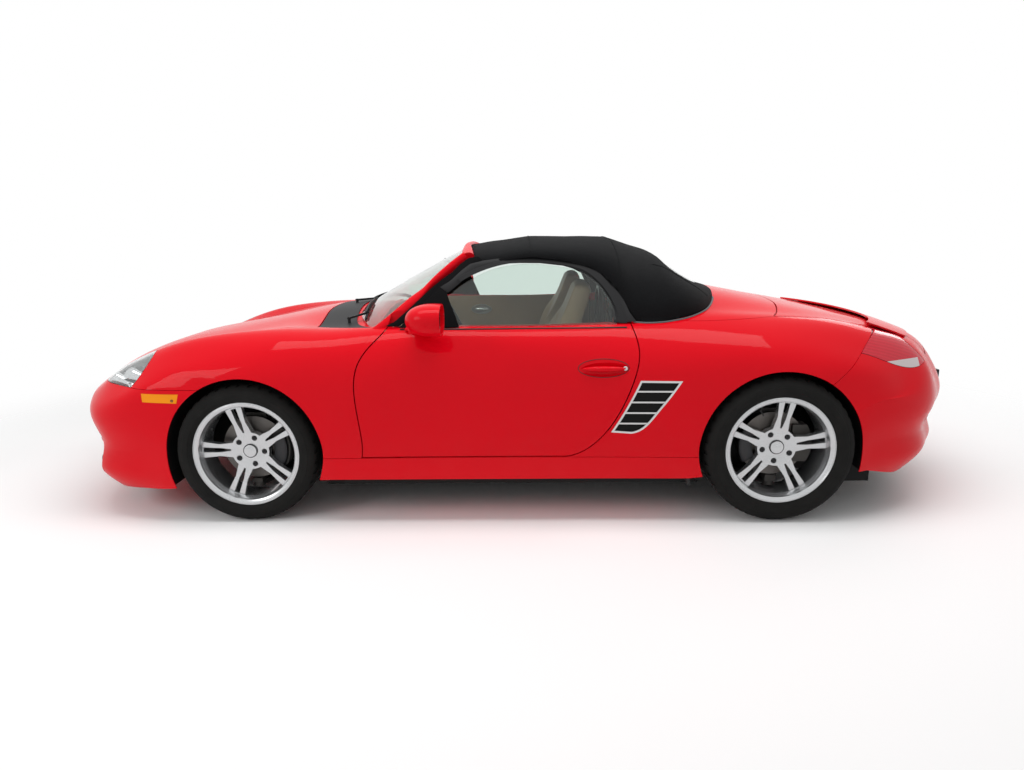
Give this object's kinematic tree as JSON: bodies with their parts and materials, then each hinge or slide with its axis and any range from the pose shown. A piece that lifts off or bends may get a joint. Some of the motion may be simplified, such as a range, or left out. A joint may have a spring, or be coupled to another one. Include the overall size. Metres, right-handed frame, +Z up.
{
  "type": "convertible sports car",
  "caption": "Two-seat convertible sports car with a closed fabric top, opening doors and lids, steered front wheels and a furnished cabin.",
  "frame": {"origin": "middle of the footprint, on the ground under the tyres", "axes": "+X to the rear of the car, +Y to the car's right seen by its driver, +Z up"},
  "size_m": [4.3476, 2.015, 1.2711],
  "materials": {
    "paint": "gloss red paint",
    "shell": "red body paint",
    "cloth": "black twill",
    "rails": "satin black",
    "glass": "clear, slightly green",
    "lamp": "clear lens",
    "tail_lamp": "red lens",
    "marker": "amber",
    "black_plastic": "textured black",
    "leather": "tan",
    "trim": "tan",
    "wheel": "silver paint",
    "tyre": "matte black",
    "disc": "turned",
    "hub": "raw",
    "steel": "dull",
    "engine": "cast",
    "reflector": "satin bright",
    "intake": "dark grey with a bright frame"
  },
  "bodies": {
    "chassis": {"body_shell": "shell", "front_bumper": "paint", "left_fender": "paint", "right_fender": "paint", "cowl": "black_plastic", "left_quarter": "paint", "right_quarter": "paint", "top_cover": "paint", "rear_bumper": "paint", "sill_covers": "paint", "windshield": "glass", "soft_top": "cloth", "top_rails": "rails", "headlamps": "lamp", "tail_lamps": "tail_lamp", "side_markers": "marker", "side_intakes": "intake", "seats": "leather", "dashboard": "trim", "console": "trim", "rear_hubs": "hub", "exhaust": "steel", "engine": "engine", "arch_liners": "black_plastic", "suspension": "hub", "lamp_bowls": "reflector", "running_lights": "lamp", "front_grilles": "black_plastic", "rear_window": "glass", "wipers": "black_plastic", "roll_hoops": "rails"},
    "left_knuckle": {"left_knuckle": "hub"},
    "right_knuckle": {"right_knuckle": "hub"},
    "front_left_wheel": {"front_left_wheel": "wheel", "front_left_tyre": "tyre", "front_left_disc": "disc"},
    "front_right_wheel": {"front_right_wheel": "wheel", "front_right_tyre": "tyre", "front_right_disc": "disc"},
    "rear_left_wheel": {"rear_left_wheel": "wheel", "rear_left_tyre": "tyre", "rear_left_disc": "disc"},
    "rear_right_wheel": {"rear_right_wheel": "wheel", "rear_right_tyre": "tyre", "rear_right_disc": "disc"},
    "left_door": {"left_door": "paint", "left_door_glass": "glass", "left_door_trim": "trim", "left_handle": "paint", "left_mirror": "paint"},
    "right_door": {"right_door": "paint", "right_door_glass": "glass", "right_door_trim": "trim", "right_handle": "paint", "right_mirror": "paint"},
    "front_lid": {"front_lid": "paint"},
    "rear_lid": {"rear_lid": "paint", "rear_spoiler": "paint"},
    "steering_wheel": {"steering_wheel": "leather"}
  },
  "joints": [
    {"name": "front_left_spin", "type": "hinge", "parent": "left_knuckle", "child": "front_left_wheel", "pos_m": [-1.246, -0.745, 0.323], "axis": [0, 1, 0], "continuous": true},
    {"name": "front_right_spin", "type": "hinge", "parent": "right_knuckle", "child": "front_right_wheel", "pos_m": [-1.246, 0.745, 0.323], "axis": [0, 1, 0], "continuous": true},
    {"name": "rear_left_spin", "type": "hinge", "parent": "chassis", "child": "rear_left_wheel", "pos_m": [1.169, -0.765, 0.334], "axis": [0, 1, 0], "continuous": true},
    {"name": "rear_right_spin", "type": "hinge", "parent": "chassis", "child": "rear_right_wheel", "pos_m": [1.169, 0.765, 0.334], "axis": [0, 1, 0], "continuous": true},
    {"name": "left_steer", "type": "hinge", "parent": "chassis", "child": "left_knuckle", "pos_m": [-1.246, -0.715, 0.323], "axis": [0, 0, 1], "range_deg": [-30, 30]},
    {"name": "right_steer", "type": "hinge", "parent": "chassis", "child": "right_knuckle", "pos_m": [-1.246, 0.715, 0.323], "axis": [0, 0, 1], "range_deg": [-30, 30]},
    {"name": "steering_turn", "type": "hinge", "parent": "chassis", "child": "steering_wheel", "pos_m": [-0.2981, -0.3602, 0.783], "axis": [0.9135, 0, 0.4067], "range_deg": [-455, 455]},
    {"name": "left_door_hinge", "type": "hinge", "parent": "chassis", "child": "left_door", "pos_m": [-0.63298, -0.83888, 0.5], "axis": [0, 0, -1], "range_deg": [0, 60]},
    {"name": "right_door_hinge", "type": "hinge", "parent": "chassis", "child": "right_door", "pos_m": [-0.63298, 0.83888, 0.5], "axis": [0, 0, 1], "range_deg": [0, 60]},
    {"name": "front_lid_hinge", "type": "hinge", "parent": "chassis", "child": "front_lid", "pos_m": [-0.88, 0, 0.885], "axis": [0, 1, 0], "range_deg": [0, 70]},
    {"name": "rear_lid_hinge", "type": "hinge", "parent": "chassis", "child": "rear_lid", "pos_m": [1.15, 0, 0.885], "axis": [0, -1, 0], "range_deg": [0, 75]}
  ],
  "couplings": [
    {"joint": "right_steer", "follows": "left_steer", "ratio": 1},
    {"joint": "steering_turn", "follows": "left_steer", "ratio": 15}
  ]
}
